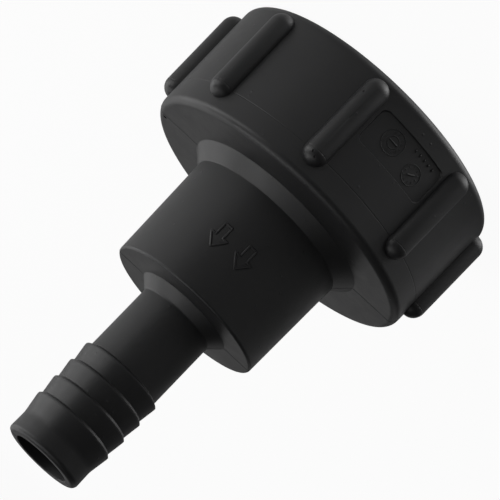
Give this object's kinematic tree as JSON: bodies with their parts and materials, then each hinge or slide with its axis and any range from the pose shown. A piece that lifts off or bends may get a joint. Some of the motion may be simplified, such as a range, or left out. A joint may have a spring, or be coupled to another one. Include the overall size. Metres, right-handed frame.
{
  "type": "tank hose adapter",
  "caption": "Moulded adapter: a ribbed screw cap with a coarse inner thread and flat gasket, a plain collar and a barbed hose tail.",
  "frame": {"origin": "centre of the cap's open rim, which the part stands on", "axes": "+Z along the part's axis from the cap's rim to the mouth of the hose tail; one grip rib on +X"},
  "size_m": [0.077, 0.077, 0.1045],
  "materials": {
    "moulded_plastic": "semi-matte black moulded polypropylene with fine texture",
    "gasket_rubber": "matte black rubber"
  },
  "bodies": {
    "root": {"adapter_body": "moulded_plastic", "sealing_gasket": "gasket_rubber"}
  },
  "joints": []
}
